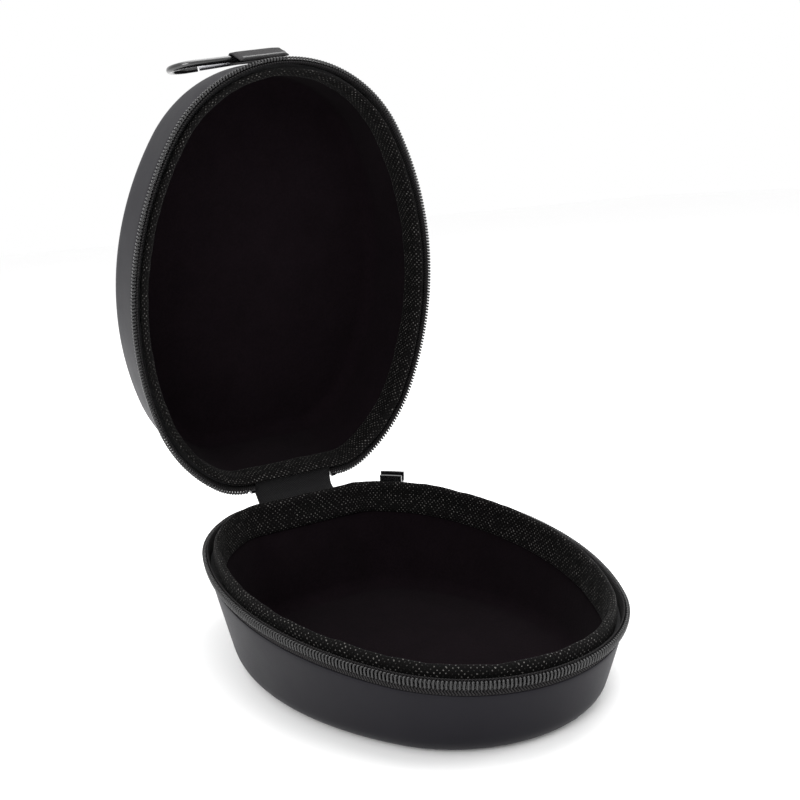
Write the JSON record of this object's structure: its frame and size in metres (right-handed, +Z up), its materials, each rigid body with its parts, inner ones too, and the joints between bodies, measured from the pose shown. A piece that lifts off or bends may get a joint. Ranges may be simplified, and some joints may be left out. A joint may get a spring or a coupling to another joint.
{
  "type": "headphone carrying case",
  "caption": "Hard oval zip-up carrying case for headphones, standing open on its fabric hinge, with a webbing loop and a snap hook on the lid.",
  "frame": {"origin": "middle of the flat bottom of the base, on the surface that the case stands on", "axes": "+Z up; -Y towards the end with the hook when the case is closed; +Y towards the hinge; +X to the right"},
  "size_m": [0.161, 0.2592, 0.2751],
  "materials": {
    "shell_cover": "smooth soft-touch laminated fabric, matt",
    "foam": "moulded closed-cell foam, hidden inside the wall",
    "lining": "short-nap knitted lining",
    "binding": "open-weave binding tape",
    "zip_tape": "herringbone zip tape",
    "zip_coil": "nylon coil",
    "hinge_fabric": "woven hinge fabric",
    "webbing": "woven strap",
    "thread": "sewing thread",
    "black_metal": "glossy black coating",
    "bright_metal": "nickel plated",
    "grip": "soft moulded plate"
  },
  "bodies": {
    "base": {"base_shell": "foam", "base_cover": "shell_cover", "base_lining": "lining", "base_binding": "binding", "base_zip_tape": "zip_tape", "base_zip_coil": "zip_coil", "base_zip_stop_left": "black_metal", "base_zip_stop_right": "black_metal", "base_hinge_band": "hinge_fabric", "base_hinge_gusset": "hinge_fabric"},
    "lid": {"lid_shell": "foam", "lid_cover": "shell_cover", "lid_lining": "lining", "lid_binding": "binding", "lid_zip_tape": "zip_tape", "lid_zip_coil": "zip_coil", "lid_zip_stop_left": "black_metal", "lid_zip_stop_right": "black_metal", "lid_hinge_band": "hinge_fabric", "lid_hinge_gusset": "hinge_fabric", "webbing_loop": "webbing", "loop_bartack": "thread"},
    "slider": {"slider_body": "black_metal", "slider_bridge": "black_metal"},
    "pull_ring": {"pull_ring": "black_metal"},
    "puller": {"pull_tab": "black_metal", "pull_grip_outer": "grip", "pull_grip_inner": "grip"},
    "hook": {"hook_body": "black_metal", "gate_rivet": "bright_metal"},
    "gate": {"hook_gate": "bright_metal"}
  },
  "joints": [
    {"name": "lid_hinge", "type": "hinge", "parent": "base", "child": "lid", "pos_m": [0, 0.10223, 0.05917], "axis": [-1, 0, 0], "range_deg": [-86.2, 88.8]},
    {"name": "slider_run", "type": "hinge", "parent": "base", "child": "slider", "pos_m": [0.00049, 0.03231, 0.05106], "axis": [0, 0.1152, -0.9933], "range_deg": [-2, 23]},
    {"name": "pull_ring_swing", "type": "hinge", "parent": "slider", "child": "pull_ring", "pos_m": [0.05298, 0.09228, 0.05802], "axis": [0.7547, -0.6517, -0.0756], "range_deg": [0, 150]},
    {"name": "pull_tab_swing", "type": "hinge", "parent": "pull_ring", "child": "puller", "pos_m": [0.05279, 0.09244, 0.05473], "axis": [0.7547, -0.6517, -0.0756], "range_deg": [-6, 24]},
    {"name": "hook_swing", "type": "hinge", "parent": "lid", "child": "hook", "pos_m": [-0.00995, 0.08058, 0.27094], "axis": [0.9954, -0.0173, 0.0943], "range_deg": [0, 150]},
    {"name": "gate_press", "type": "hinge", "parent": "hook", "child": "gate", "pos_m": [-0.00058, 0.08778, 0.27136], "axis": [-0.093, 0.0633, 0.9937], "range_deg": [0, 20], "stiffness_Nm_per_rad": 0.02, "springref_deg": -20.05}
  ]
}
